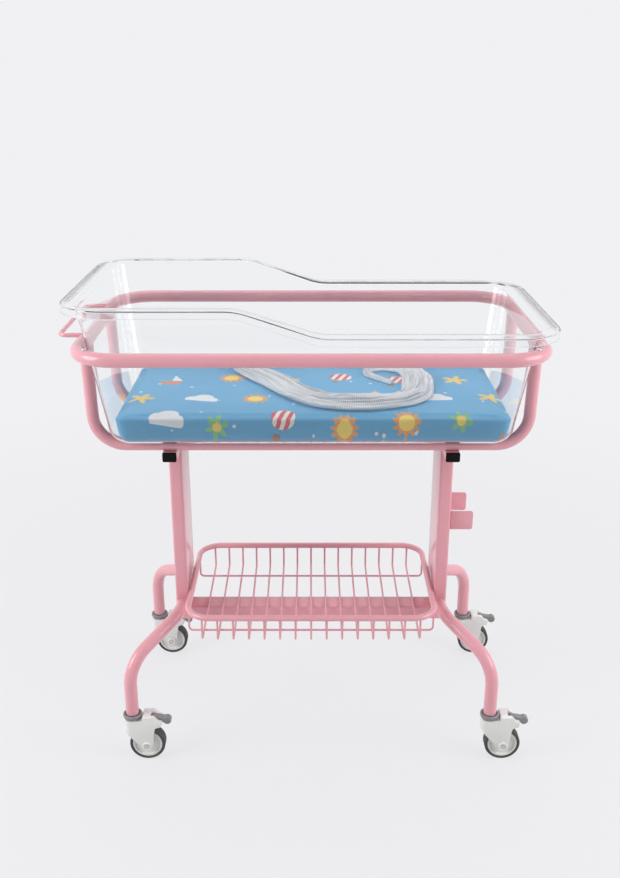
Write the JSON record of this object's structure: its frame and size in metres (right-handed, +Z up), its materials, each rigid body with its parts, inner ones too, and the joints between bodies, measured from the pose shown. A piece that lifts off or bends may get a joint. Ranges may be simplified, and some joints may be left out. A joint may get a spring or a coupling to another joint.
{
  "type": "hospital bassinet",
  "caption": "Clear drop-in baby basin with a printed mattress on a pink tube frame with side columns, wire basket and braked swivel casters.",
  "frame": {"origin": "centre of the bounding box on the floor", "axes": "+X towards the low foot end of the basin, +Y to the rear side away from the picture's camera, +Z up"},
  "size_m": [0.8726, 0.5004, 0.9087],
  "materials": {
    "pink_powder_coat": "satin powder coat",
    "zinc_steel": "zinc plated",
    "black_plastic": "moulded",
    "grey_plastic": "moulded",
    "white_plastic": "moulded",
    "grey_rubber": "thermoplastic rubber tread",
    "clear_plastic": "clear moulded acrylic",
    "printed_cover": "printed wipe-clean cloth",
    "foam": "open-cell foam",
    "gauze": "translucent gauze"
  },
  "bodies": {
    "frame": {"ring_tube": "pink_powder_coat", "cradle_tube_front": "pink_powder_coat", "cradle_tube_rear": "pink_powder_coat", "push_rail": "pink_powder_coat", "ring_screw_head": "zinc_steel", "ring_screw_foot": "zinc_steel", "column_head": "pink_powder_coat", "cross_tube_head": "pink_powder_coat", "end_cap_head_front": "black_plastic", "end_cap_head_rear": "black_plastic", "column_foot": "pink_powder_coat", "cross_tube_foot": "pink_powder_coat", "end_cap_foot_front": "black_plastic", "end_cap_foot_rear": "black_plastic", "stretcher_beam": "pink_powder_coat", "hook_bracket": "pink_powder_coat", "leg_tube_head_front": "pink_powder_coat", "leg_tube_head_rear": "pink_powder_coat", "leg_tube_foot_front": "pink_powder_coat", "leg_tube_foot_rear": "pink_powder_coat", "basket_rim": "pink_powder_coat", "basket_wires": "pink_powder_coat", "caster_stem_head_front": "zinc_steel", "caster_collar_head_front": "grey_plastic", "caster_stem_head_rear": "zinc_steel", "caster_collar_head_rear": "grey_plastic", "caster_stem_foot_front": "zinc_steel", "caster_collar_foot_front": "grey_plastic", "caster_stem_foot_rear": "zinc_steel", "caster_collar_foot_rear": "grey_plastic"},
    "basin": {"basin": "clear_plastic"},
    "mattress": {"mattress_cover": "printed_cover", "mattress_base": "printed_cover", "mattress_foam": "foam"},
    "net": {"folded_net": "gauze"},
    "swivel_head_front": {"caster_housing_head_front": "white_plastic", "caster_axle_head_front": "zinc_steel", "pedal_pin_head_front": "zinc_steel"},
    "wheel_head_front": {"caster_wheel_head_front": "white_plastic", "caster_tyre_head_front": "grey_rubber"},
    "pedal_head_front": {"brake_pedal_head_front": "grey_plastic"},
    "swivel_head_rear": {"caster_housing_head_rear": "white_plastic", "caster_axle_head_rear": "zinc_steel", "pedal_pin_head_rear": "zinc_steel"},
    "wheel_head_rear": {"caster_wheel_head_rear": "white_plastic", "caster_tyre_head_rear": "grey_rubber"},
    "pedal_head_rear": {"brake_pedal_head_rear": "grey_plastic"},
    "swivel_foot_front": {"caster_housing_foot_front": "white_plastic", "caster_axle_foot_front": "zinc_steel", "pedal_pin_foot_front": "zinc_steel"},
    "wheel_foot_front": {"caster_wheel_foot_front": "white_plastic", "caster_tyre_foot_front": "grey_rubber"},
    "pedal_foot_front": {"brake_pedal_foot_front": "grey_plastic"},
    "swivel_foot_rear": {"caster_housing_foot_rear": "white_plastic", "caster_axle_foot_rear": "zinc_steel", "pedal_pin_foot_rear": "zinc_steel"},
    "wheel_foot_rear": {"caster_wheel_foot_rear": "white_plastic", "caster_tyre_foot_rear": "grey_rubber"},
    "pedal_foot_rear": {"brake_pedal_foot_rear": "grey_plastic"}
  },
  "joints": [
    {"name": "basin_lift", "type": "slide", "parent": "frame", "child": "basin", "axis": [0, 0, 1], "range_m": [0, 0.35]},
    {"name": "mattress_lift", "type": "slide", "parent": "basin", "child": "mattress", "axis": [0, 0, 1], "range_m": [0, 0.3]},
    {"name": "net_lift", "type": "slide", "parent": "mattress", "child": "net", "axis": [0, 0, 1], "range_m": [0, 0.25]},
    {"name": "swivel_head_front", "type": "hinge", "parent": "frame", "child": "swivel_head_front", "pos_m": [-0.33617, -0.188, 0.09057], "axis": [0, 0, 1], "continuous": true},
    {"name": "roll_head_front", "type": "hinge", "parent": "swivel_head_front", "child": "wheel_head_front", "pos_m": [-0.30917, -0.188, 0.03457], "axis": [0, 1, 0], "continuous": true},
    {"name": "brake_head_front", "type": "hinge", "parent": "swivel_head_front", "child": "pedal_head_front", "pos_m": [-0.29417, -0.188, 0.09157], "axis": [0, 1, 0], "range_deg": [0, 12]},
    {"name": "swivel_head_rear", "type": "hinge", "parent": "frame", "child": "swivel_head_rear", "pos_m": [-0.33617, 0.188, 0.09057], "axis": [0, 0, 1], "continuous": true},
    {"name": "roll_head_rear", "type": "hinge", "parent": "swivel_head_rear", "child": "wheel_head_rear", "pos_m": [-0.30917, 0.188, 0.03457], "axis": [0, 1, 0], "continuous": true},
    {"name": "brake_head_rear", "type": "hinge", "parent": "swivel_head_rear", "child": "pedal_head_rear", "pos_m": [-0.29417, 0.188, 0.09157], "axis": [0, 1, 0], "range_deg": [0, 12]},
    {"name": "swivel_foot_front", "type": "hinge", "parent": "frame", "child": "swivel_foot_front", "pos_m": [0.35883, -0.188, 0.09057], "axis": [0, 0, 1], "continuous": true},
    {"name": "roll_foot_front", "type": "hinge", "parent": "swivel_foot_front", "child": "wheel_foot_front", "pos_m": [0.38583, -0.188, 0.03457], "axis": [0, 1, 0], "continuous": true},
    {"name": "brake_foot_front", "type": "hinge", "parent": "swivel_foot_front", "child": "pedal_foot_front", "pos_m": [0.40083, -0.188, 0.09157], "axis": [0, 1, 0], "range_deg": [0, 12]},
    {"name": "swivel_foot_rear", "type": "hinge", "parent": "frame", "child": "swivel_foot_rear", "pos_m": [0.35883, 0.188, 0.09057], "axis": [0, 0, 1], "continuous": true},
    {"name": "roll_foot_rear", "type": "hinge", "parent": "swivel_foot_rear", "child": "wheel_foot_rear", "pos_m": [0.38583, 0.188, 0.03457], "axis": [0, 1, 0], "continuous": true},
    {"name": "brake_foot_rear", "type": "hinge", "parent": "swivel_foot_rear", "child": "pedal_foot_rear", "pos_m": [0.40083, 0.188, 0.09157], "axis": [0, 1, 0], "range_deg": [0, 12]}
  ]
}
